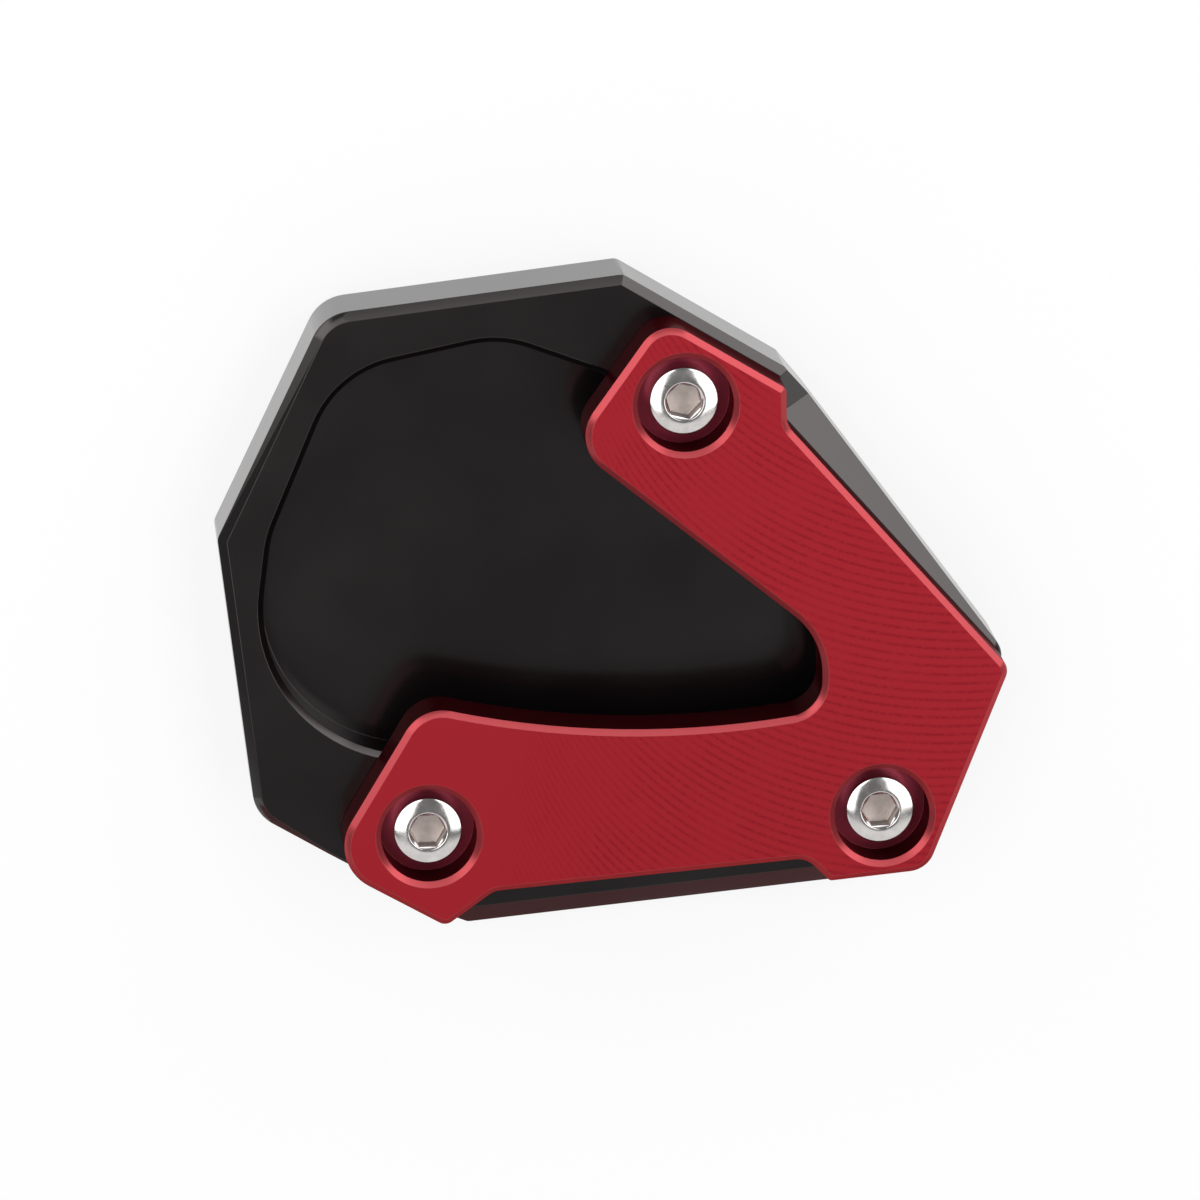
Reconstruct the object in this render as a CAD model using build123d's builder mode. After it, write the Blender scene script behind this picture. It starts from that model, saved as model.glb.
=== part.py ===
"""Kickstand foot enlarger: a pocketed base plate, a V-shaped clamp plate and three socket screws.

The origin is the centre of the underside. X runs across the plates, Y towards the upper arm, Z up.
All outlines are listed clockwise, seen from above. An offset is a pair: along X, along Y. Millimetres.
"""
import os
from math import radians, tan

from build123d import *

# Plates: length and width are from sharp corner to sharp corner
plate_length = 99.04
plate_width = 83.55
base_thickness = 12.0
clamp_thickness = 8.0
edge_break = 0.3
underside_chamfer = 0.5

# The middle of the sharp corners, which the rounding of the right corner moves off the origin
middle = (0.18, 0.015)

# Corners of the base plate, each from the nearest corner of the plates' length and width
left_offset = (0.0, 50.8)
upper_left_offset = (13.49, -4.45)
top_offset = (-48.3, 0.0)
shoulder_offset = (-28.05, -12.1)
waist_offset = (-24.95, -15.85)
right_offset = (0.0, 34.3)
lower_right_offset = (-11.25, 5.5)
bottom_offset = (31.19, 0.0)
lower_left_offset = (4.39, 15.1)

# Corner radii of the base plate
base_small_radius = 1.5
base_waist_radius = 1.0
base_right_radius = 3.0
base_upper_left_radius = 5.5
base_lower_left_radius = 5.0

# Sloping sides of the base plate, all at 45 degrees: width from the wall to the flat top
bevel_angle = 45.0
rim_bevel = 1.1
shoulder_bevel = 1.05
right_bevel = 0.36
bottom_bevel = 2.6
flat_waist_offset = (-3.65, -1.8)
flush_length = 20.0

# Screw places, from the nearest corner of the base plate
upper_screw_offset = (-13.2, -2.75)
lower_screw_offset = (-5.5, 14.2)
corner_screw_offset = (-5.1, 10.1)

# Pocket for the foot of the side stand: its corners, from corners of the base plate
pocket_depth = 7.0
pocket_edge_chamfer = 0.75
pocket_left_offset = (6.7, 0.35)
pocket_upper_left_offset = (1.75, -7.45)
pocket_upper_offset = (-15.37, -7.72)
pocket_right_offset = (-19.65, 5.1)
pocket_lower_left_offset = (-1.36, 7.33)

# The pocket's corners below the arms, from the screws
pocket_above_arm_offset = (-7.9, 1.75)
pocket_below_arm_offset = (-8.0, -4.9)
pocket_lower_right_offset = (-3.3, 7.2)

# Corner radii of the pocket
pocket_lower_left_radius = 19.1
pocket_upper_radius = 13.0
pocket_right_radius = 8.0
pocket_arm_radius = 3.0

# Clamp plate: its outer sides stand a small step inside the flat top of the base plate
clamp_step = 0.05
clamp_top_chamfer = 0.75
upper_arm_run = 5.0
foot_length = 12.4
lower_side_length = 17.2

# Clamp plate: corners of the arms, the V and the notch in the lower side, from the screws
upper_arm_left_offset = (-14.35, -4.8)
lower_arm_left_offset = (-0.8, 16.85)
inner_upper_offset = (-7.65, 23.0)
inner_lower_offset = (-7.65, 13.6)
inner_arc_radius = 115.0
notch_left_offset = (8.15, -7.45)
notch_right_offset = (-9.5, -5.55)

# Corner radii of the clamp plate
arm_end_radius = 5.2
arm_top_radius = 4.2
shoulder_radius = 1.0
waist_radius = 3.0
right_radius = 2.0
lower_right_radius = 3.5
foot_radius = 0.8
notch_radius = 3.0
tip_radius = 1.5
lower_left_radius = 6.0
inner_upper_radius = 9.5
inner_lower_radius = 4.5

# Socket screws and their holes
screw_diameter = 5.0
screw_length = 10.0
screw_tip_chamfer = 0.6
head_diameter = 8.5
head_side_height = 3.2
head_dome_height = 0.45
head_dome_bulge = 0.08
head_edge_radius = 0.15
socket_width = 4.0
socket_depth = 2.4
socket_countersink_diameter = 4.9
socket_countersink_depth = 0.3
socket_drill_diameter = 3.6
socket_drill_tip_height = 0.7
clearance_hole_gap = 0.25
thread_gap = 0.05
counterbore_gap = 1.75
counterbore_depth = 6.0
counterbore_chamfer = 0.7
hole_end_gap = 0.8
drill_tip_height = 1.4

# How far each screw is turned, in degrees
upper_screw_turn = -14.0
lower_screw_turn = 0.0
corner_screw_turn = 2.0

# Heights and radii that follow from the sizes above
clamp_top = base_thickness + clamp_thickness
seat_height = clamp_top - counterbore_depth
screw_end_height = seat_height - screw_length
hole_depth = base_thickness - screw_end_height + hole_end_gap
hole_radius = screw_diameter / 2 + thread_gap
socket_rim_height = head_side_height + head_dome_height
socket_edge_height = socket_rim_height - socket_countersink_depth


def beside(corner, offset):
    """The point at an offset from a corner."""
    return Vector(corner) + Vector(offset)


def from_side(start, end, along, inwards):
    """The point at a distance along a side of a clockwise outline, and inwards from it."""
    side = (Vector(end) - Vector(start)).normalized()
    return Vector(start) + side * along + Vector(side.Y, -side.X) * inwards


def inset_corner(before, corner, after, from_first, from_second):
    """A corner moved inwards from the side before it and from the side after it."""
    first = (Vector(corner) - Vector(before)).normalized()
    second = (Vector(after) - Vector(corner)).normalized()
    turn = first.cross(second).Z
    return Vector(corner) + (first * from_second - second * from_first) * (1 / turn)


def corners_of(outline):
    """The corners of an outline, without their radii."""
    return [corner for corner, radius in outline]


def round_corners(outline):
    """Round the corners of the sketch that is being drawn."""
    for corner, radius in outline:
        nearest = vertices().sort_by_distance(Vector(corner))[0]
        fillet(nearest, radius)


half_plate = Vector(plate_length / 2, plate_width / 2)
half_plate_mirrored = Vector(plate_length / 2, -plate_width / 2)
upper_right_end = Vector(middle) + half_plate
lower_left_end = Vector(middle) - half_plate
lower_right_end = Vector(middle) + half_plate_mirrored
upper_left_end = Vector(middle) - half_plate_mirrored

base_left = beside(lower_left_end, left_offset)
base_upper_left = beside(upper_left_end, upper_left_offset)
base_top = beside(upper_right_end, top_offset)
base_shoulder = beside(upper_right_end, shoulder_offset)
base_waist = beside(upper_right_end, waist_offset)
base_right = beside(lower_right_end, right_offset)
base_lower_right = beside(lower_right_end, lower_right_offset)
base_bottom = beside(lower_left_end, bottom_offset)
base_lower_left = beside(lower_left_end, lower_left_offset)

upper_screw = beside(base_shoulder, upper_screw_offset)
lower_screw = beside(base_bottom, lower_screw_offset)
corner_screw = beside(base_lower_right, corner_screw_offset)
screw_places = [upper_screw, lower_screw, corner_screw]

base_outline = [
    (base_left, base_small_radius),
    (base_upper_left, base_upper_left_radius),
    (base_top, base_small_radius),
    (base_shoulder, base_waist_radius),
    (base_waist, base_waist_radius),
    (base_right, base_right_radius),
    (base_lower_right, base_right_radius),
    (base_bottom, base_waist_radius),
    (base_lower_left, base_lower_left_radius),
]

# The flat top of the base plate: its sides are the upper edges of the sloping sides
flat_left = inset_corner(base_lower_left, base_left, base_upper_left, rim_bevel, rim_bevel)
flat_upper_left = inset_corner(base_left, base_upper_left, base_top, rim_bevel, rim_bevel)
flat_top = inset_corner(base_upper_left, base_top, base_shoulder, rim_bevel, rim_bevel)
flat_shoulder = inset_corner(base_top, base_shoulder, base_waist, rim_bevel, shoulder_bevel)
flat_waist = beside(base_waist, flat_waist_offset)
flat_right = inset_corner(base_waist, base_right, base_lower_right, right_bevel, edge_break)
flat_lower_right = inset_corner(base_right, base_lower_right, base_bottom, edge_break, bottom_bevel)
flat_bottom = inset_corner(base_lower_right, base_bottom, base_lower_left, bottom_bevel, edge_break)
flat_flush_end = from_side(base_bottom, base_lower_left, flush_length, edge_break)
flat_lower_left = inset_corner(base_bottom, base_lower_left, base_left, rim_bevel, rim_bevel)

pocket_outline = [
    (beside(base_left, pocket_left_offset), pocket_upper_radius),
    (beside(base_upper_left, pocket_upper_left_offset), pocket_upper_radius),
    (beside(base_top, pocket_upper_offset), pocket_upper_radius),
    (beside(upper_screw, pocket_above_arm_offset), pocket_arm_radius),
    (beside(upper_screw, pocket_below_arm_offset), pocket_arm_radius),
    (beside(base_right, pocket_right_offset), pocket_right_radius),
    (beside(corner_screw, pocket_lower_right_offset), pocket_right_radius),
    (beside(base_lower_left, pocket_lower_left_offset), pocket_lower_left_radius),
]

with BuildPart() as base_plate:
    with BuildSketch():
        with BuildLine():
            Polyline(*corners_of(base_outline), close=True)
        make_face()
        round_corners(base_outline)
    extrude(amount=base_thickness)
    chamfer(faces().sort_by(Axis.Z)[0].edges(), underside_chamfer)
    # Sloping sides: the plate is cut to a block that widens downwards from the flat top
    with BuildSketch(Plane.XY.offset(base_thickness)):
        with BuildLine():
            Polyline(
                flat_left, flat_upper_left, flat_top, flat_shoulder, flat_waist, flat_right,
                flat_lower_right, flat_bottom, flat_flush_end, flat_lower_left, close=True,
            )
        make_face()
        round_corners([
            (flat_upper_left, base_upper_left_radius - rim_bevel),
            (flat_right, base_right_radius - right_bevel),
            (flat_lower_left, base_lower_left_radius - rim_bevel),
        ])
    extrude(amount=-base_thickness, taper=-bevel_angle, mode=Mode.INTERSECT)
    # Pocket
    with BuildSketch(Plane.XY.offset(base_thickness)):
        with BuildLine():
            Polyline(*corners_of(pocket_outline), close=True)
        make_face()
        round_corners(pocket_outline)
    extrude(amount=-pocket_depth, mode=Mode.SUBTRACT)
    chamfer(faces().sort_by(Axis.Z)[-1].inner_wires().edges(), pocket_edge_chamfer)
    # Blind tapped holes with drilled ends
    with Locations(*[place + (0, 0, base_thickness) for place in screw_places]):
        Hole(radius=hole_radius, depth=hole_depth)
    with Locations(*[place + (0, 0, base_thickness - hole_depth) for place in screw_places]):
        Cone(
            bottom_radius=0,
            top_radius=hole_radius,
            height=drill_tip_height,
            align=(Align.CENTER, Align.CENTER, Align.MAX),
            mode=Mode.SUBTRACT,
        )
base_plate.part.label = "base_plate"

# Outer corners of the clamp plate, which follow the flat top of the base plate
clamp_shoulder = inset_corner(flat_top, flat_shoulder, flat_waist, clamp_step, clamp_step)
clamp_waist = inset_corner(flat_shoulder, flat_waist, flat_right, clamp_step, clamp_step)
clamp_right = inset_corner(flat_waist, flat_right, flat_lower_right, clamp_step, clamp_step)
clamp_lower_right = inset_corner(flat_right, flat_lower_right, flat_bottom, clamp_step, clamp_step)
clamp_tip = inset_corner(flat_lower_right, flat_bottom, flat_flush_end, clamp_step, clamp_step)

upper_arm_left = beside(upper_screw, upper_arm_left_offset)
lower_arm_left = beside(lower_screw, lower_arm_left_offset)
inner_upper = beside(corner_screw, inner_upper_offset)
inner_lower = beside(corner_screw, inner_lower_offset)

# The rounding inside the V is limited by the short side between the arms
inner_side = inner_upper - inner_lower
inner_turn = inner_side.get_angle(upper_arm_left - inner_upper)
inner_room = inner_side.length - inner_lower_radius
inner_fitting_radius = min(inner_upper_radius, inner_room / tan(radians(inner_turn / 2)))

clamp_outline = [
    (lower_arm_left, arm_end_radius),
    (inner_lower, inner_lower_radius),
    (inner_upper, inner_fitting_radius),
    (upper_arm_left, arm_end_radius),
    (from_side(flat_top, flat_shoulder, upper_arm_run, clamp_step), arm_top_radius),
    (clamp_shoulder, shoulder_radius),
    (clamp_waist, waist_radius),
    (clamp_right, right_radius),
    (clamp_lower_right, lower_right_radius),
    (from_side(flat_lower_right, flat_bottom, foot_length, clamp_step), foot_radius),
    (beside(corner_screw, notch_right_offset), notch_radius),
    (beside(lower_screw, notch_left_offset), notch_radius),
    (clamp_tip, tip_radius),
    (from_side(flat_bottom, flat_flush_end, lower_side_length, clamp_step), lower_left_radius),
]

with BuildPart() as clamp_plate:
    with BuildSketch(Plane.XY.offset(base_thickness)):
        with BuildLine():
            RadiusArc(lower_arm_left, inner_lower, -inner_arc_radius)
            Polyline(*corners_of(clamp_outline[1:]), lower_arm_left)
        make_face()
        round_corners(clamp_outline)
    extrude(amount=clamp_thickness)
    chamfer(faces().sort_by(Axis.Z)[-1].edges(), clamp_top_chamfer)
    chamfer(faces().sort_by(Axis.Z)[0].edges(), edge_break)
    with Locations(*[place + (0, 0, clamp_top) for place in screw_places]):
        CounterBoreHole(
            radius=screw_diameter / 2 + clearance_hole_gap,
            counter_bore_radius=head_diameter / 2 + counterbore_gap,
            counter_bore_depth=counterbore_depth,
            depth=clamp_thickness,
        )
    chamfer(faces().sort_by(Axis.Z)[-1].inner_wires().edges(), counterbore_chamfer)
clamp_plate.part.label = "clamp_plate"


def socket_screw(place, turn, name):
    """A socket screw whose head seats on the counterbore's floor."""
    seat = place + (0, 0, seat_height)
    with BuildPart() as screw:
        # Half section of the turned body, from the rim of the socket round to the dome
        with BuildSketch(Plane(seat, x_dir=(1, 0, 0), z_dir=(0, -1, 0))):
            with BuildLine():
                outside = Polyline(
                    (socket_countersink_diameter / 2, socket_rim_height),
                    (socket_width / 2, socket_edge_height),
                    (0, socket_edge_height),
                    (0, -screw_length),
                    (screw_diameter / 2 - screw_tip_chamfer, -screw_length),
                    (screw_diameter / 2, screw_tip_chamfer - screw_length),
                    (screw_diameter / 2, 0),
                    (head_diameter / 2, 0),
                    (head_diameter / 2, head_side_height),
                )
                SagittaArc(outside @ 1, outside @ 0, -head_dome_bulge)
            make_face()
            round_corners([((head_diameter / 2, head_side_height), head_edge_radius)])
        revolve(axis=Axis(seat, (0, 0, 1)))
        with BuildSketch(Plane(seat + (0, 0, socket_rim_height))):
            RegularPolygon(socket_width / 2, 6, major_radius=False, rotation=turn)
        extrude(amount=-socket_depth, mode=Mode.SUBTRACT)
        # Tip of the hole that is drilled before the hexagon is pressed in
        with Locations(seat + (0, 0, socket_rim_height - socket_depth)):
            Cone(
                bottom_radius=0,
                top_radius=socket_drill_diameter / 2,
                height=socket_drill_tip_height,
                align=(Align.CENTER, Align.CENTER, Align.MAX),
                mode=Mode.SUBTRACT,
            )
    screw.part.label = name
    return screw.part


pieces = [
    base_plate.part,
    clamp_plate.part,
    socket_screw(upper_screw, upper_screw_turn, "screw_upper_arm"),
    socket_screw(lower_screw, lower_screw_turn, "screw_lower_arm"),
    socket_screw(corner_screw, corner_screw_turn, "screw_corner"),
]

os.makedirs("parts", exist_ok=True)
for piece in pieces:
    export_step(piece, f"parts/{piece.label}.step")
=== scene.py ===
"""Kickstand foot enlarger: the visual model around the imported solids, and its studio.

Metres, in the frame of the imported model: the pad's underside is at Z 0, the V opens towards -X.
"""
import math

import bmesh
import bpy
from bpy.props import FloatProperty, FloatVectorProperty, IntProperty, PointerProperty
from mathutils import Matrix, Vector


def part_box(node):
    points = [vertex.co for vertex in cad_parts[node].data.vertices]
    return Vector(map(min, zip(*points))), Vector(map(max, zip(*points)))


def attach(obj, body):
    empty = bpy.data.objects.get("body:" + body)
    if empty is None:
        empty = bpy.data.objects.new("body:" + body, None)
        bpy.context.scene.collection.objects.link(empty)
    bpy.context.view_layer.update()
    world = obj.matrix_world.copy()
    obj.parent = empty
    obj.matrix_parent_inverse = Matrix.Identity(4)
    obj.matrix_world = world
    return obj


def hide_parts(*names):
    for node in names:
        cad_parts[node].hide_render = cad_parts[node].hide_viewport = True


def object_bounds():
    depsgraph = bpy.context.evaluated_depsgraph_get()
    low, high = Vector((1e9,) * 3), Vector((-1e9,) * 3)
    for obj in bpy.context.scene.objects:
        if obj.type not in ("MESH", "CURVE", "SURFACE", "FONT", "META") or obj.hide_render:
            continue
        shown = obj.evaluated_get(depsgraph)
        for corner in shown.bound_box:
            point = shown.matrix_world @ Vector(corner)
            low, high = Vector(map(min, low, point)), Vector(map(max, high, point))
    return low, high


bl_info = {
    "name": "Kickstand Foot Enlarger",
    "version": (1, 0, 0),
    "blender": (4, 5, 0),
    "location": "View3D > Sidebar > Foot Enlarger",
    "description": "Builds an anodised side-stand foot pad with its clamp plate, screws and studio",
    "category": "Object",
}

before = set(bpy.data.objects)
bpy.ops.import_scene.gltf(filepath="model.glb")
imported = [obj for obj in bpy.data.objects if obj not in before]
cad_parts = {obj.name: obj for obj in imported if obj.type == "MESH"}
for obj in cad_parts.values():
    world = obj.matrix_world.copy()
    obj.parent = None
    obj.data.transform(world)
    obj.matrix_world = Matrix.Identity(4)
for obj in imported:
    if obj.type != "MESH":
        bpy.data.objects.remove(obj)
CAD_BOX = [list(corner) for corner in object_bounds()]

MM = 0.001
MERGE_DISTANCE = 1e-7
FLAT_ANGLE = math.radians(0.6)
SHARP_ANGLE = math.radians(25)

# Socket screws
SCREW_TURNS = {"upper_arm": -14, "lower_arm": 0, "corner": 2}
SCREW_STEPS = 72
DOME_RINGS = 5
SCREW_RADIUS = 2.5 * MM
TIP_CHAMFER = 0.6 * MM
HEAD_RADIUS = 4.25 * MM
HEAD_HEIGHT = 3.65 * MM
SOCKET_WIDTH = 4 * MM
SOCKET_DEPTH = 2.4 * MM
SOCKET_RIM_RADIUS = 2.45 * MM
COUNTERSINK_DEPTH = 0.3 * MM
DRILL_RADIUS = 1.8 * MM
DRILL_TIP_HEIGHT = 0.7 * MM
HEXAGON_STEP = math.radians(60)

# Surfaces: the sizes of the patterns, and how far the roughness strays on the plate and the steel
CLOUD_SIZE = 14 * MM
DASH_SIZE = 0.45 * MM
FADE_SIZE = 9 * MM
HEAD_FILM_SIZE = 1.5 * MM
SOCKET_FILM_SIZE = 0.8 * MM
BUMP_DEPTH = 0.02 * MM
PLATE_SPREAD = 0.02
STEEL_SPREAD = 0.03
DARKEST_FILM = 0.85
# A level face within this depth from the top is the milled one
MILLED_DEPTH = 0.3 * MM
# A milling mark is a groove, this part as deep as the grain is high
MARK_RELIEF = -0.6
# An arc begins to show, and shows in full, where it lies this far along Y from the mill's centre,
# as parts of the mill's radius
ARC_ENDS = (0.35, 0.7)
# The etched grain is really about 0.05 mm, and is drawn at 0.3 mm so that it shows
GRAIN_SIZE = 0.3 * MM

# Studio: the camera and the brown card in millimetres, the floor and the lamps in metres
CAMERA_PLACE = (-86.05, 240.34, 981.3)
CAMERA_AIM = (-2.25, 2.44, 20.0)
SENSOR_WIDTH = 36
CARD_LOW_EDGE = (0, -62, 0.5)
CARD_HIGH_EDGE = (0, -110, 45)
CARD_WIDTH = 200
FLOOR_SIZE = 12
SOFTBOX_SIZE = (0.7, 0.8)
SOFTBOX_HEIGHT = 0.9
SOFTBOX_NEAR_EDGE = -0.27
SOFTBOX_LEFT_EDGES = {"softbox_left": -0.79, "softbox_right": 0.2}
SOFTBOX_RADIANCE = 2.2

# Levels that change with a value: from where to where it counts, and the level at each of the two.
# On the surfaces the value is a noise, or the part of a face's direction along Z
NOISE_RANGE = (0.3, 0.7)
DASHES = (0.35, 0.6, 0.35, 1.0)
FADING = (0.3, 0.6, 0.45, 1.0)
LEVEL_FACES = (0.95, 0.995, 0.0, 1.0)
UPRIGHT_FACES = (0.3, 0.6, 1.0, 0.0)

# In the studio it is the part of a ray's direction along an axis. The far wall is brighter
# towards its two ends, its left end comes a little nearer, and it has an upper edge
FAR_WALL = (0.28, 0.44, 0.0, 1.45)
FAR_WALL_LEFT_END = (-0.85, -0.6, 0.07, 0.0)
FAR_WALL_SHADES = [
    ("X", -0.2, 0.8, 1.0, 1.75),
    ("X", -0.75, -0.4, 1.5, 1.0),
    ("Z", 0.45, 0.6, 1.0, 0.0),
]
# Between the two ends it starts higher above the floor
FAR_WALL_PARTS = [
    ("Z", 0.18, 0.23, 0.0, 1.0),
    ("X", -0.7, -0.5, 1.0, 0.0),
    ("X", 0.52, 0.62, 0.0, 1.0),
]
# The near wall is darker towards the floor
NEAR_WALL = (-0.29, -0.4, 0.0, 0.7)
NEAR_WALL_FOOT = (0.2, 0.4, 0.3, 1.0)
DARK_LEVEL = 0.2

EASED = {"interpolation_type": "SMOOTHSTEP"}


def linear(code):
    """The linear colour of an sRGB hex code."""
    values = [int(code[place:place + 2], 16) / 255 for place in (1, 3, 5)]
    return [v / 12.92 if v <= 0.04045 else ((v + 0.055) / 1.055) ** 2.4 for v in values]


def add(tree, kind, settings=None, inputs=()):
    """Add a node with its settings, and fill its inputs, by name or in order.

    An input is a value, another node's output, or a node that stands for its first output.
    """
    node = tree.nodes.new(kind)
    for name, value in (settings or {}).items():
        setattr(node, name, value)
    if not isinstance(inputs, dict):
        inputs = dict(enumerate(inputs))
    for name, value in inputs.items():
        if isinstance(value, bpy.types.Node):
            value = value.outputs[0]
        if isinstance(value, bpy.types.NodeSocket):
            tree.links.new(value, node.inputs[name])
        else:
            node.inputs[name].default_value = value
    return node


def new_material(name):
    """A material without nodes, and its node tree."""
    material = bpy.data.materials.new(name)
    material.use_nodes = True
    material.node_tree.nodes.clear()
    return material, material.node_tree


def black_anodised_aluminium(settings):
    """Milled aluminium, anodised and dyed black: hardly a colour of its own, satin reflections."""
    material, tree = new_material("black_anodised_aluminium")
    place = add(tree, "ShaderNodeTexCoord").outputs["Object"]
    # The dye takes a little unevenly over centimetres
    cloud = add(tree, "ShaderNodeTexNoise", inputs={
        "Vector": place, "Scale": 1 / CLOUD_SIZE, "Detail": 2, "Roughness": 0.5,
    })
    colour = add(tree, "ShaderNodeMix", {"data_type": "RGBA"}, {
        0: cloud, 6: (*settings.dye, 1), 7: (*settings.dye_thin, 1),
    }).outputs[2]
    roughness = add(tree, "ShaderNodeMapRange", inputs=(
        cloud, *NOISE_RANGE, settings.roughness - PLATE_SPREAD, settings.roughness + PLATE_SPREAD,
    ))
    grain = add(tree, "ShaderNodeTexNoise", inputs={
        "Vector": place, "Scale": 1 / GRAIN_SIZE, "Detail": 3, "Roughness": 0.6,
    })
    bump = add(tree, "ShaderNodeBump", inputs={
        "Strength": 0.06, "Distance": BUMP_DEPTH, "Height": grain,
    })
    shader = add(tree, "ShaderNodeBsdfPrincipled", inputs={
        "Base Color": colour, "Roughness": roughness, "IOR": 1.62, "Normal": bump,
        "Specular Tint": (*settings.sheen_tint, 1),
    })
    add(tree, "ShaderNodeOutputMaterial", inputs={"Surface": shader})
    return material


def milling_marks(tree, place, settings):
    """The arcs that the rim of a face mill cuts, and where they are seen, as levels of 0 to 1.

    The mill's centre moved towards -Y, and a little towards -X, while its rim cut equal arcs.
    """
    axes = add(tree, "ShaderNodeSeparateXYZ", inputs=(place,)).outputs
    centre = add(tree, "ShaderNodeMath", {"operation": "MULTIPLY_ADD"}, (
        axes["Y"], settings.cutter_drift, settings.cutter_x,
    ))
    across = add(tree, "ShaderNodeMath", {"operation": "SUBTRACT"}, (axes["X"], centre))
    squared = add(tree, "ShaderNodeMath", {"operation": "MULTIPLY"}, (across, across))
    rim = add(tree, "ShaderNodeMath", {"operation": "SUBTRACT"}, (
        settings.cutter_radius ** 2, squared,
    ))
    rim = add(tree, "ShaderNodeMath", {"operation": "MAXIMUM"}, (rim, 0.0))
    rim = add(tree, "ShaderNodeMath", {"operation": "SQRT"}, (rim,))
    phase = add(tree, "ShaderNodeMath", {"operation": "ADD"}, (axes["Y"], rim))
    turns = add(tree, "ShaderNodeMath", {"operation": "MULTIPLY"}, (
        phase, math.tau / settings.cutter_feed,
    ))
    wave = add(tree, "ShaderNodeMath", {"operation": "COSINE"}, (turns,))
    wave = add(tree, "ShaderNodeMath", {"operation": "MULTIPLY_ADD"}, (wave, 0.5, 0.5))
    mark = add(tree, "ShaderNodeMath", {"operation": "POWER"}, (wave, settings.mark_sharpness))
    # The arcs run out where they stand across the arms
    start, end = (part * settings.cutter_radius for part in ARC_ENDS)
    ends = add(tree, "ShaderNodeMapRange", EASED, (rim, start, end, 0.0, 1.0))
    return mark, ends


def red_anodised_aluminium(settings):
    """Face-milled aluminium, anodised and dyed red: the arcs of the mill show on the top face."""
    material, tree = new_material("red_anodised_aluminium")
    coordinates = add(tree, "ShaderNodeTexCoord").outputs
    place = coordinates["Object"]
    height = add(tree, "ShaderNodeSeparateXYZ", inputs=(place,)).outputs["Z"]
    facing = add(tree, "ShaderNodeSeparateXYZ", inputs=(coordinates["Normal"],)).outputs["Z"]
    # The milled face looks straight up and is the highest; walls and bores were cut more finely,
    # which shows in their roughness. Lower faces get painted shade: a darker dye on the bore
    # floors, and a much darker one on upright walls for the dark base they mirror
    level = add(tree, "ShaderNodeMapRange", EASED, (facing, *LEVEL_FACES))
    highest = add(tree, "ShaderNodeMath", {"operation": "GREATER_THAN"}, (
        height, CAD_BOX[1][2] - MILLED_DEPTH,
    ))
    milled = add(tree, "ShaderNodeMath", {"operation": "MULTIPLY"}, (level, highest))
    recess_shade_share = add(tree, "ShaderNodeMath", {"operation": "LESS_THAN"}, (
        height, CAD_BOX[1][2] - settings.bore_chamfer,
    ))
    steepness = add(tree, "ShaderNodeMath", {"operation": "ABSOLUTE"}, (facing,))
    upright = add(tree, "ShaderNodeMapRange", EASED, (steepness, *UPRIGHT_FACES))
    wall_shade_share = add(tree, "ShaderNodeMath", {"operation": "MULTIPLY"}, (recess_shade_share, upright))

    # Each mark is a row of fine dashes, and is fainter in places
    mark, ends = milling_marks(tree, place, settings)
    dashes = add(tree, "ShaderNodeTexNoise", inputs={
        "Vector": place, "Scale": 1 / DASH_SIZE, "Detail": 1, "Roughness": 0.5,
    })
    dashes = add(tree, "ShaderNodeMapRange", EASED, (dashes, *DASHES))
    fading = add(tree, "ShaderNodeTexNoise", inputs={
        "Vector": place, "Scale": 1 / FADE_SIZE, "Detail": 1, "Roughness": 0.5,
    })
    fading = add(tree, "ShaderNodeMapRange", EASED, (fading, *FADING))
    for share in (dashes, fading, ends, milled):
        mark = add(tree, "ShaderNodeMath", {"operation": "MULTIPLY"}, (mark, share))
    stain = add(tree, "ShaderNodeMath", {"operation": "MULTIPLY"}, (mark, settings.mark_strength))

    # Each dye covers the one before it where its share says; the bore and wall dyes are painted
    # shade
    colour = (*settings.dye, 1)
    for share, dye in (
        (recess_shade_share, settings.bore_painted_shade), (wall_shade_share, settings.wall_painted_shade), (milled, settings.milled_dye),
        (stain, settings.mark_colour),
    ):
        colour = add(tree, "ShaderNodeMix", {"data_type": "RGBA"}, {
            0: share, 6: colour, 7: (*dye, 1),
        }).outputs[2]

    roughness = add(tree, "ShaderNodeMapRange", EASED, (
        milled, 0.0, 1.0, settings.roughness, settings.milled_roughness,
    ))
    # The matt oxide of walls and chamfers scatters a share of the light; on the top it isn't seen
    metallic = add(tree, "ShaderNodeMapRange", EASED, (
        milled, 0.0, 1.0, 1 - settings.scatter, 1.0,
    ))
    grain = add(tree, "ShaderNodeTexNoise", inputs={
        "Vector": place, "Scale": 1 / GRAIN_SIZE, "Detail": 3, "Roughness": 0.6,
    })
    relief = add(tree, "ShaderNodeMath", {"operation": "MULTIPLY_ADD"}, (
        mark, MARK_RELIEF, grain,
    ))
    bump = add(tree, "ShaderNodeBump", inputs={
        "Strength": 0.08, "Distance": BUMP_DEPTH, "Height": relief,
    })
    shader = add(tree, "ShaderNodeBsdfPrincipled", inputs={
        "Base Color": colour, "Roughness": roughness, "Metallic": metallic, "Normal": bump,
        "Specular Tint": (*settings.glancing_tint, 1), "Specular IOR Level": 0.0,
        "Coat Weight": 0.1, "Coat Roughness": 0.12, "Coat IOR": 1.5,
    })
    add(tree, "ShaderNodeOutputMaterial", inputs={"Surface": shader})
    return material


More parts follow.
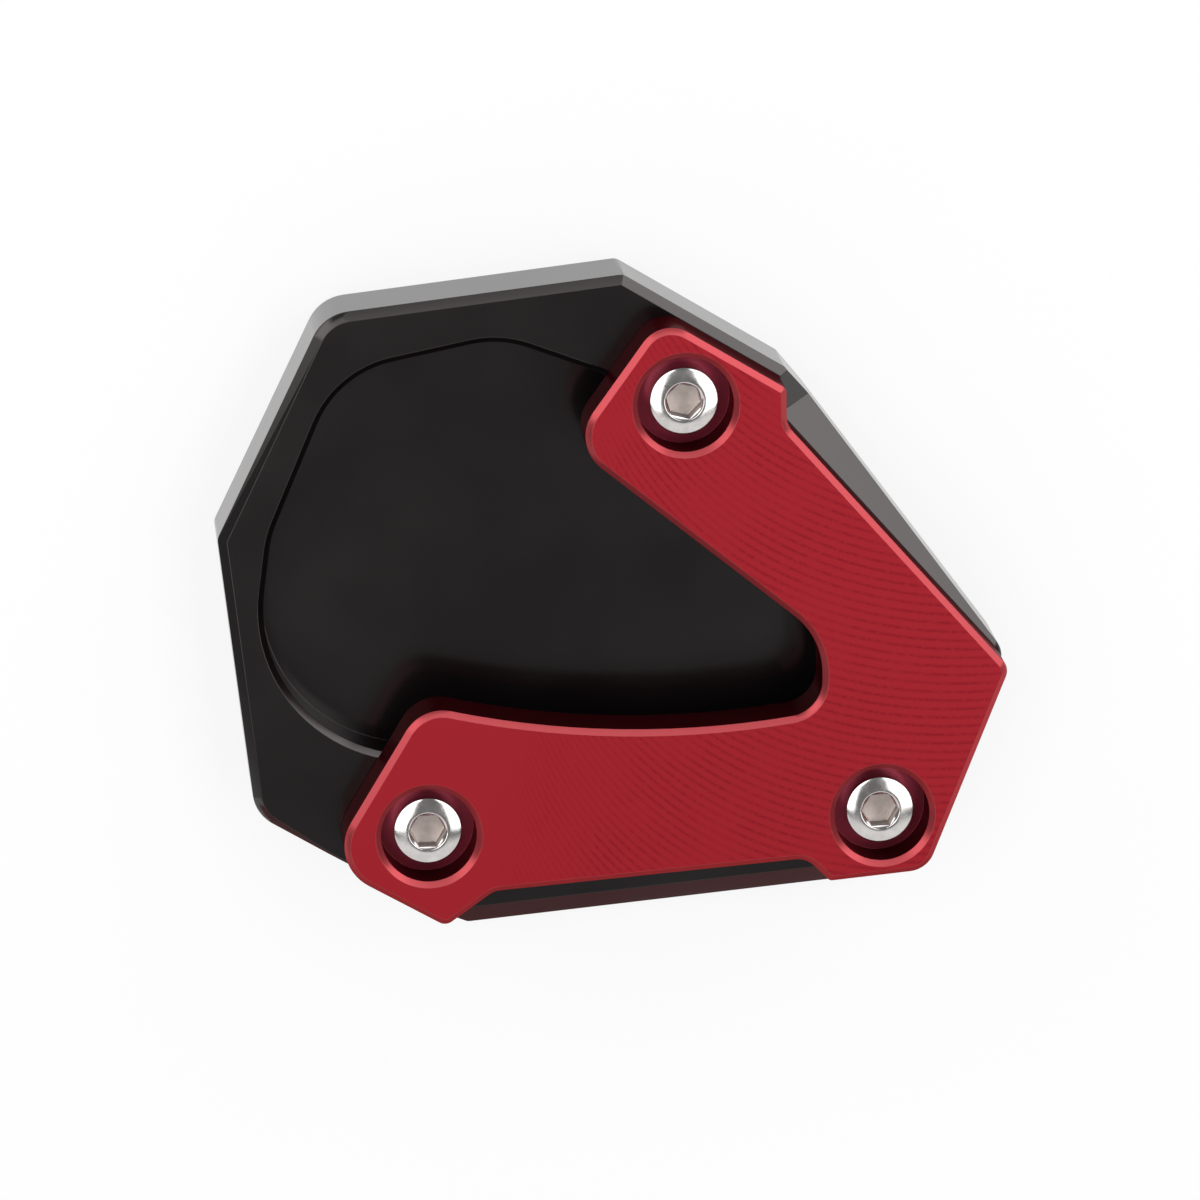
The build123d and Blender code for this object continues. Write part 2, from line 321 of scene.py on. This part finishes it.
def stainless_steel(name, colour, roughness, film_size):
    """Stainless steel that mirrors the lamps, with a film that makes the mirror uneven."""
    material, tree = new_material(name)
    place = add(tree, "ShaderNodeTexCoord").outputs["Object"]
    film = add(tree, "ShaderNodeTexNoise", inputs={
        "Vector": place, "Scale": 1 / film_size, "Detail": 3, "Roughness": 0.6,
    })
    uneven_roughness = add(tree, "ShaderNodeMapRange", EASED, (
        film, *NOISE_RANGE, roughness - STEEL_SPREAD, roughness + STEEL_SPREAD,
    ))
    shade = add(tree, "ShaderNodeMapRange", EASED, (film, *NOISE_RANGE, DARKEST_FILM, 1.0))
    tone = add(tree, "ShaderNodeMix", {"data_type": "RGBA", "blend_type": "MULTIPLY"}, {
        0: 1.0, 6: (*colour, 1), 7: shade,
    }).outputs[2]
    bump = add(tree, "ShaderNodeBump", inputs={
        "Strength": 0.05, "Distance": BUMP_DEPTH, "Height": film,
    })
    shader = add(tree, "ShaderNodeBsdfPrincipled", inputs={
        "Base Color": tone, "Roughness": uneven_roughness, "Metallic": 1.0, "Normal": bump,
    })
    add(tree, "ShaderNodeOutputMaterial", inputs={"Surface": shader})
    return material


def finished(shape, name, materials, node_name):
    """Make a piece of a finished bmesh, with even shading, which stands for a CAD node."""
    for face in shape.faces:
        face.smooth = True
    for edge in shape.edges:
        edge.smooth = edge.calc_face_angle(0) < SHARP_ANGLE
    mesh = bpy.data.meshes.new(name)
    shape.to_mesh(mesh)
    shape.free()
    for material in materials:
        mesh.materials.append(material)
    piece = bpy.data.objects.new(name, mesh)
    bpy.context.scene.collection.objects.link(piece)
    weighted = piece.modifiers.new("even_shading", "WEIGHTED_NORMAL")
    weighted.keep_sharp = True
    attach(piece, "root")
    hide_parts(node_name)
    return piece


def soften(shape, edges, width, segments):
    """Round edges by a width."""
    bmesh.ops.bevel(
        shape, geom=edges, offset=width, offset_type="OFFSET", segments=segments, profile=0.5,
        affect="EDGES", material=-1, clamp_overlap=True,
    )


def softened_copy(node_name, name, width, segments, material):
    """A copy of a CAD node with its sharp edges rounded a little, which stands for the node."""
    shape = bmesh.new()
    shape.from_mesh(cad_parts[node_name].data)
    bmesh.ops.remove_doubles(shape, verts=shape.verts, dist=MERGE_DISTANCE)
    bmesh.ops.dissolve_limit(shape, angle_limit=FLAT_ANGLE, verts=shape.verts, edges=shape.edges)
    sharp = [edge for edge in shape.edges if edge.calc_face_angle(0) > SHARP_ANGLE]
    soften(shape, sharp, width, segments)
    return finished(shape, name, [material], node_name)


def dome_points(settings, top):
    """Radius and height along the head's dome, from the socket's rim to the edge."""
    points = []
    radius, height = SOCKET_RIM_RADIUS, top
    step = (HEAD_RADIUS - SOCKET_RIM_RADIUS) / DOME_RINGS
    for ring in range(DOME_RINGS):
        points.append((radius, height))
        share = (ring + 0.5) / DOME_RINGS
        slope = settings.dome_inner_slope * (1 - share) + settings.dome_outer_slope * share
        radius += step
        height -= step * math.tan(slope)
    return points + [(HEAD_RADIUS, height)]


def socket_screw(node_name, name, turn, settings, materials, segments):
    """A screw turned from its half section, with a hexagon pressed into its head.

    Its second material is on the floor of the socket.
    """
    low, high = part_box(node_name)
    axis = Vector(((low[0] + high[0]) / 2, (low[1] + high[1]) / 2, 0))
    top = high[2]
    floor = top - SOCKET_DEPTH
    seat = top - HEAD_HEIGHT
    hexagon_ring = SOCKET_WIDTH / 2
    half_section = [
        (0, floor - DRILL_TIP_HEIGHT), (DRILL_RADIUS, floor), (hexagon_ring, floor),
        (hexagon_ring, top - COUNTERSINK_DEPTH), *dome_points(settings, top),
        (HEAD_RADIUS, seat), (SCREW_RADIUS, seat), (SCREW_RADIUS, low[2] + TIP_CHAMFER),
        (SCREW_RADIUS - TIP_CHAMFER, low[2]), (0, low[2]),
    ]
    shape = bmesh.new()
    corners = [shape.verts.new((radius, 0, height)) for radius, height in half_section]
    for first, second in zip(corners, corners[1:]):
        shape.edges.new((first, second))
    bmesh.ops.spin(
        shape, geom=shape.edges[:], cent=(0, 0, 0), axis=(0, 0, 1), angle=math.tau,
        steps=SCREW_STEPS, use_merge=True,
    )
    bmesh.ops.remove_doubles(shape, verts=shape.verts, dist=MERGE_DISTANCE)
    # The two rings of the hexagon move out to its sides, and its upper edge up the countersink
    rise = COUNTERSINK_DEPTH / (SOCKET_RIM_RADIUS - hexagon_ring)
    for vert in shape.verts:
        if abs(vert.co.xy.length - hexagon_ring) > MERGE_DISTANCE:
            continue
        angle = math.atan2(vert.co.y, vert.co.x) % HEXAGON_STEP
        reach = hexagon_ring / math.cos(angle - HEXAGON_STEP / 2)
        vert.co.xy *= reach / hexagon_ring
        if vert.co.z > floor + MERGE_DISTANCE:
            vert.co.z += (reach - hexagon_ring) * rise
    bmesh.ops.recalc_face_normals(shape, faces=shape.faces)
    for face in shape.faces:
        middle = face.calc_center_median()
        on_floor = seat < middle.z < floor + MERGE_DISTANCE and middle.xy.length < HEAD_RADIUS / 2
        face.material_index = 1 if on_floor else 0
    sharp = [edge for edge in shape.edges if edge.calc_face_angle(0) > SHARP_ANGLE]
    soften(shape, sharp, settings.edge_width, segments)
    place = Matrix.Translation(axis) @ Matrix.Rotation(turn, 4, "Z")
    bmesh.ops.transform(shape, matrix=place, verts=shape.verts)
    return finished(shape, name, materials, node_name)


class BasePlateSettings(bpy.types.PropertyGroup):
    """Finish of the black base plate."""

    dye: FloatVectorProperty(
        name="Dye", description="Colour of the black dye", subtype="COLOR",
        default=linear("#0A0808"),
    )
    dye_thin: FloatVectorProperty(
        name="Thin dye", description="Colour where the dye is thinner", subtype="COLOR",
        default=linear("#0F0C0D"),
    )
    sheen_tint: FloatVectorProperty(
        name="Sheen tint", description="Colour of what the dyed oxide mirrors", subtype="COLOR",
        default=linear("#FFF6F5"),
    )
    roughness: FloatProperty(
        name="Roughness", description="How soft the reflections are", subtype="FACTOR",
        default=0.15, min=0, max=1,
    )
    edge_width: FloatProperty(
        name="Edge width", description="Width of the rounding on each edge", unit="LENGTH",
        default=0.05 * MM, min=0.01 * MM, max=0.2 * MM,
    )


class ClampPlateSettings(bpy.types.PropertyGroup):
    """Finish and milling marks of the red clamp plate."""

    dye: FloatVectorProperty(
        name="Dye", description="Colour of the dye on chamfers", subtype="COLOR",
        default=linear("#B2474C"),
    )
    milled_dye: FloatVectorProperty(
        name="Milled dye", description="Colour of the dye on the milled top", subtype="COLOR",
        default=linear("#9F252E"),
    )
    # Painted shade: a darker dye on the floors of the bores, for the shade in the recess
    bore_painted_shade: FloatVectorProperty(
        name="Bore dye", description="Colour of the dye on the floors of the bores",
        subtype="COLOR", default=linear("#8A3040"),
    )
    # Painted shade: upright walls dyed nearly black, standing in for the shade and the dark base
    # they mirror
    wall_painted_shade: FloatVectorProperty(
        name="Wall dye", description="Colour of the dye on upright walls", subtype="COLOR",
        default=linear("#4A0C14"),
    )
    glancing_tint: FloatVectorProperty(
        name="Glancing tint", description="Colour of what the metal mirrors at a glancing angle",
        subtype="COLOR", default=linear("#A4404C"),
    )
    bore_chamfer: FloatProperty(
        name="Chamfer depth", description="Depth below the top at which the walls begin",
        unit="LENGTH", default=0.75 * MM,
    )
    mark_colour: FloatVectorProperty(
        name="Mark colour", description="Colour in the bottom of a milling mark", subtype="COLOR",
        default=linear("#701420"),
    )
    mark_sharpness: FloatProperty(
        name="Mark sharpness", description="How narrow a milling mark is between its neighbours",
        default=3.0, min=1, max=20,
    )
    mark_strength: FloatProperty(
        name="Mark strength", description="How much a milling mark darkens the dye",
        subtype="FACTOR", default=0.5, min=0, max=1,
    )
    roughness: FloatProperty(
        name="Roughness", description="How soft the reflections of walls and chamfers are",
        subtype="FACTOR", default=0.3, min=0, max=1,
    )
    milled_roughness: FloatProperty(
        name="Milled roughness", description="How soft the reflections of the milled top are",
        subtype="FACTOR", default=0.42, min=0, max=1,
    )
    scatter: FloatProperty(
        name="Scatter", description="Share of the light that walls and chamfers scatter",
        subtype="FACTOR", default=0.27, min=0, max=1,
    )
    cutter_radius: FloatProperty(
        name="Cutter radius", description="Radius of the face mill", unit="LENGTH", default=61 * MM,
    )
    cutter_feed: FloatProperty(
        name="Cutter feed", description="Distance between two milling marks", unit="LENGTH",
        default=1.1 * MM,
    )
    cutter_x: FloatProperty(
        name="Cutter place", description="X of the cutter's centre at the middle of the plate",
        unit="LENGTH", default=45.5 * MM,
    )
    cutter_drift: FloatProperty(
        name="Cutter drift", description="How far the centre moves along X for each step along Y",
        default=0.19,
    )
    edge_width: FloatProperty(
        name="Edge width", description="Width of the rounding on each edge", unit="LENGTH",
        default=0.12 * MM, min=0.01 * MM, max=0.2 * MM,
    )


class ScrewSettings(bpy.types.PropertyGroup):
    """Shape and finish of the socket screws."""

    steel: FloatVectorProperty(
        name="Steel", description="Colour of the polished steel", subtype="COLOR",
        default=linear("#DEDAD8"),
    )
    pressed_steel: FloatVectorProperty(
        name="Pressed steel", description="Colour of the steel in the socket", subtype="COLOR",
        default=linear("#ACA09A"),
    )
    roughness: FloatProperty(
        name="Roughness", description="How soft the reflections of the head are", subtype="FACTOR",
        default=0.12, min=0, max=1,
    )
    pressed_roughness: FloatProperty(
        name="Pressed roughness", description="How soft the reflections in the socket are",
        subtype="FACTOR", default=0.4, min=0, max=1,
    )
    dome_inner_slope: FloatProperty(
        name="Inner slope", description="Slope of the head beside the socket", unit="ROTATION",
        default=math.radians(3),
    )
    dome_outer_slope: FloatProperty(
        name="Outer slope", description="Slope of the head at its edge", unit="ROTATION",
        default=math.radians(13),
    )
    edge_width: FloatProperty(
        name="Edge width", description="Width of the rounding on each edge", unit="LENGTH",
        default=0.05 * MM, min=0.01 * MM, max=0.1 * MM,
    )


class StageSettings(bpy.types.PropertyGroup):
    """Floor, card and camera, and how finely every edge is rounded."""

    floor: FloatVectorProperty(
        name="Floor", description="Colour of the floor", subtype="COLOR", default=linear("#F4F4F4"),
    )
    floor_glow: FloatProperty(
        name="Floor glow", description="How much of the floor's white doesn't depend on the lamps",
        subtype="FACTOR", default=0.82, min=0, max=1,
    )
    card: FloatVectorProperty(
        name="Card", description="Colour of the card", subtype="COLOR", default=linear("#B07476"),
    )
    focal_length: FloatProperty(
        name="Focal length", description="Focal length of the camera in millimetres",
        unit="CAMERA", default=240.0,
    )
    segments: IntProperty(
        name="Edge segments", description="Faces across each rounded edge", default=2, min=1, max=4,
    )


class FootEnlargerSettings(bpy.types.PropertyGroup):
    """All settings of the foot enlarger."""

    base_plate: PointerProperty(type=BasePlateSettings)
    clamp_plate: PointerProperty(type=ClampPlateSettings)
    screws: PointerProperty(type=ScrewSettings)
    stage: PointerProperty(type=StageSettings)


class ENLARGER_OT_base_plate(bpy.types.Operator):
    """Make the black base plate with its rounded edges and its finish"""

    bl_idname = "enlarger.base_plate"
    bl_label = "Base plate"

    def execute(self, context):
        everything = context.scene.foot_enlarger
        settings = everything.base_plate
        plate = softened_copy(
            "base_plate", "black_base_plate", settings.edge_width, everything.stage.segments,
            black_anodised_aluminium(settings),
        )
        return {"FINISHED"}


class ENLARGER_OT_clamp_plate(bpy.types.Operator):
    """Make the red clamp plate with its rounded edges and its milling marks"""

    bl_idname = "enlarger.clamp_plate"
    bl_label = "Clamp plate"

    def execute(self, context):
        everything = context.scene.foot_enlarger
        settings = everything.clamp_plate
        plate = softened_copy(
            "clamp_plate", "red_clamp_plate", settings.edge_width, everything.stage.segments,
            red_anodised_aluminium(settings),
        )
        return {"FINISHED"}


class ENLARGER_OT_screws(bpy.types.Operator):
    """Make the three socket screws, each turned its own way"""

    bl_idname = "enlarger.screws"
    bl_label = "Screws"

    def execute(self, context):
        everything = context.scene.foot_enlarger
        settings = everything.screws
        # The head was tumbled to a polish; the socket kept the dull surface of the press
        materials = [
            stainless_steel(
                "polished_stainless_steel", settings.steel, settings.roughness, HEAD_FILM_SIZE,
            ),
            stainless_steel(
                "pressed_stainless_steel", settings.pressed_steel, settings.pressed_roughness,
                SOCKET_FILM_SIZE,
            ),
        ]
        for place, turn in SCREW_TURNS.items():
            screw = socket_screw(
                f"screw_{place}", f"steel_screw_{place}", math.radians(turn), settings, materials,
                everything.stage.segments,
            )
        return {"FINISHED"}


def softbox(name, left_edge):
    """A level rectangular lamp that the camera doesn't see."""
    width, depth = SOFTBOX_SIZE
    data = bpy.data.lights.new(name, "AREA")
    data.shape = "RECTANGLE"
    data.size, data.size_y = width, depth
    data.energy = SOFTBOX_RADIANCE * math.pi * width * depth
    lamp = bpy.data.objects.new(name, data)
    bpy.context.scene.collection.objects.link(lamp)
    lamp.visible_camera = False
    lamp.location = (left_edge + width / 2, SOFTBOX_NEAR_EDGE + depth / 2, SOFTBOX_HEIGHT)


def board(name, matrix, material):
    """A flat square board of the stage, one metre wide before it is placed by the matrix."""
    shape = bmesh.new()
    bmesh.ops.create_grid(shape, x_segments=1, y_segments=1, size=0.5, matrix=matrix)
    mesh = bpy.data.meshes.new(name)
    shape.to_mesh(mesh)
    shape.free()
    mesh.materials.append(material)
    piece = bpy.data.objects.new(name, mesh)
    bpy.context.scene.collection.objects.link(piece)
    return piece


def matt_white_board(settings):
    """Matt white board; the camera and the metal see it nearly plain white, however it is lit."""
    material, tree = new_material("matt_white_board")
    lit = add(tree, "ShaderNodeBsdfPrincipled", inputs={
        "Base Color": (*settings.floor, 1), "Roughness": 0.8, "Specular IOR Level": 0.2,
    })
    glow = add(tree, "ShaderNodeEmission", inputs={"Color": (1, 1, 1, 1), "Strength": 1.0})
    rays = add(tree, "ShaderNodeLightPath").outputs
    seen = rays["Is Camera Ray"]
    for kind in ("Is Glossy Ray", "Is Transmission Ray"):
        seen = add(tree, "ShaderNodeMath", {"operation": "MAXIMUM"}, (seen, rays[kind]))
    share = add(tree, "ShaderNodeMath", {"operation": "MULTIPLY"}, (seen, settings.floor_glow))
    mixed = add(tree, "ShaderNodeMixShader", inputs=(share, lit, glow))
    add(tree, "ShaderNodeOutputMaterial", inputs={"Surface": mixed})
    material.cycles.emission_sampling = "NONE"
    return material


def matt_brown_card(settings):
    """Matt red-brown card, which only tints and darkens what the metal mirrors."""
    material, tree = new_material("matt_brown_card")
    card = add(tree, "ShaderNodeBsdfDiffuse", inputs={"Color": (*settings.card, 1)})
    add(tree, "ShaderNodeOutputMaterial", inputs={"Surface": card})
    return material


def studio_walls():
    """The world: a bright white wall on the far side, a grey one near, and dark grey elsewhere."""
    world = bpy.data.worlds.new("studio_walls")
    world.use_nodes = True
    tree = world.node_tree
    tree.nodes.clear()
    direction = add(tree, "ShaderNodeTexCoord").outputs["Generated"]
    axes = add(tree, "ShaderNodeSeparateXYZ", inputs=(direction,)).outputs

    nearer = add(tree, "ShaderNodeMapRange", EASED, (axes["X"], *FAR_WALL_LEFT_END))
    distance = add(tree, "ShaderNodeMath", {"operation": "ADD"}, (axes["Y"], nearer))
    far = add(tree, "ShaderNodeMapRange", EASED, (distance, *FAR_WALL))
    for axis, *change in FAR_WALL_SHADES:
        shade = add(tree, "ShaderNodeMapRange", EASED, (axes[axis], *change))
        far = add(tree, "ShaderNodeMath", {"operation": "MULTIPLY"}, (far, shade))
    standing = 0.0
    for axis, *change in FAR_WALL_PARTS:
        part = add(tree, "ShaderNodeMapRange", EASED, (axes[axis], *change))
        standing = add(tree, "ShaderNodeMath", {"operation": "MAXIMUM"}, (standing, part))
    far = add(tree, "ShaderNodeMath", {"operation": "MULTIPLY"}, (far, standing))

    near = add(tree, "ShaderNodeMapRange", EASED, (axes["Y"], *NEAR_WALL))
    shade = add(tree, "ShaderNodeMapRange", EASED, (axes["Z"], *NEAR_WALL_FOOT))
    near = add(tree, "ShaderNodeMath", {"operation": "MULTIPLY"}, (near, shade))

    level = add(tree, "ShaderNodeMath", {"operation": "ADD"}, (far, near))
    level = add(tree, "ShaderNodeMath", {"operation": "ADD"}, (level, DARK_LEVEL))
    # Past the edge of the floor the camera sees plain white
    rays = add(tree, "ShaderNodeLightPath").outputs
    level = add(tree, "ShaderNodeMath", {"operation": "MAXIMUM"}, (level, rays["Is Camera Ray"]))
    walls = add(tree, "ShaderNodeBackground", inputs={"Color": (1, 1, 1, 1), "Strength": level})
    add(tree, "ShaderNodeOutputWorld", inputs={"Surface": walls})
    return world


def leaning_card(settings):
    """A brown card that leans over the floor at the near side, and that only the metal sees."""
    low, high = Vector(CARD_LOW_EDGE) * MM, Vector(CARD_HIGH_EDGE) * MM
    lean = math.atan2(high.z - low.z, low.y - high.y)
    spread = Matrix.Diagonal((CARD_WIDTH * MM, (high - low).length, 1, 1))
    place = Matrix.Translation((low + high) / 2) @ Matrix.Rotation(-lean, 4, "X") @ spread
    card = board("card", place, matt_brown_card(settings))
    card.visible_camera = False
    card.visible_diffuse = False
    card.visible_transmission = False
    card.visible_shadow = False


def camera_on(scene, place, aim, focal_length):
    """The scene's camera, aimed from a place at a point, both in millimetres, with +Y up."""
    data = bpy.data.cameras.new("camera")
    data.lens = focal_length
    data.sensor_width = SENSOR_WIDTH
    camera = bpy.data.objects.new("camera", data)
    scene.collection.objects.link(camera)
    place, aim = Vector(place) * MM, Vector(aim) * MM
    forward = (aim - place).normalized()
    right = forward.cross(Vector((0, 1, 0))).normalized()
    up = right.cross(forward)
    turn = Matrix((right, up, -forward)).transposed().to_4x4()
    camera.matrix_world = Matrix.Translation(place) @ turn
    scene.camera = camera


class ENLARGER_OT_stage(bpy.types.Operator):
    """Make the pale floor, the soft studio lamps and the camera"""

    bl_idname = "enlarger.stage"
    bl_label = "Stage"

    def execute(self, context):
        scene = context.scene
        settings = scene.foot_enlarger.stage
        board("floor", Matrix.Scale(FLOOR_SIZE, 4), matt_white_board(settings))
        leaning_card(settings)
        for name, left_edge in SOFTBOX_LEFT_EDGES.items():
            softbox(name, left_edge)
        scene.world = studio_walls()
        camera_on(scene, CAMERA_PLACE, CAMERA_AIM, settings.focal_length)
        scene.view_settings.view_transform = "Standard"
        return {"FINISHED"}


class ENLARGER_PT_panel(bpy.types.Panel):
    """Shows the settings of each group over the button that makes it"""

    bl_label = "Foot Enlarger"
    bl_idname = "ENLARGER_PT_panel"
    bl_space_type = "VIEW_3D"
    bl_region_type = "UI"
    bl_category = "Foot Enlarger"

    def draw(self, context):
        everything = context.scene.foot_enlarger
        for name, operator in STEPS.items():
            box = self.layout.box()
            group = getattr(everything, name)
            for key in group.bl_rna.properties.keys():
                if key not in {"rna_type", "name"}:
                    box.prop(group, key)
            box.operator(operator.bl_idname)


STEPS = {
    "base_plate": ENLARGER_OT_base_plate,
    "clamp_plate": ENLARGER_OT_clamp_plate,
    "screws": ENLARGER_OT_screws,
    "stage": ENLARGER_OT_stage,
}

CLASSES = [
    BasePlateSettings, ClampPlateSettings, ScrewSettings, StageSettings, FootEnlargerSettings,
    *STEPS.values(), ENLARGER_PT_panel,
]


def register():
    for item in CLASSES:
        bpy.utils.register_class(item)
    bpy.types.Scene.foot_enlarger = PointerProperty(type=FootEnlargerSettings)


def unregister():
    del bpy.types.Scene.foot_enlarger
    for item in reversed(CLASSES):
        bpy.utils.unregister_class(item)


def main():
    """Build every piece and the stage."""
    register()
    for name in STEPS:
        getattr(bpy.ops.enlarger, name)()


if __name__ == "__main__":
    main()
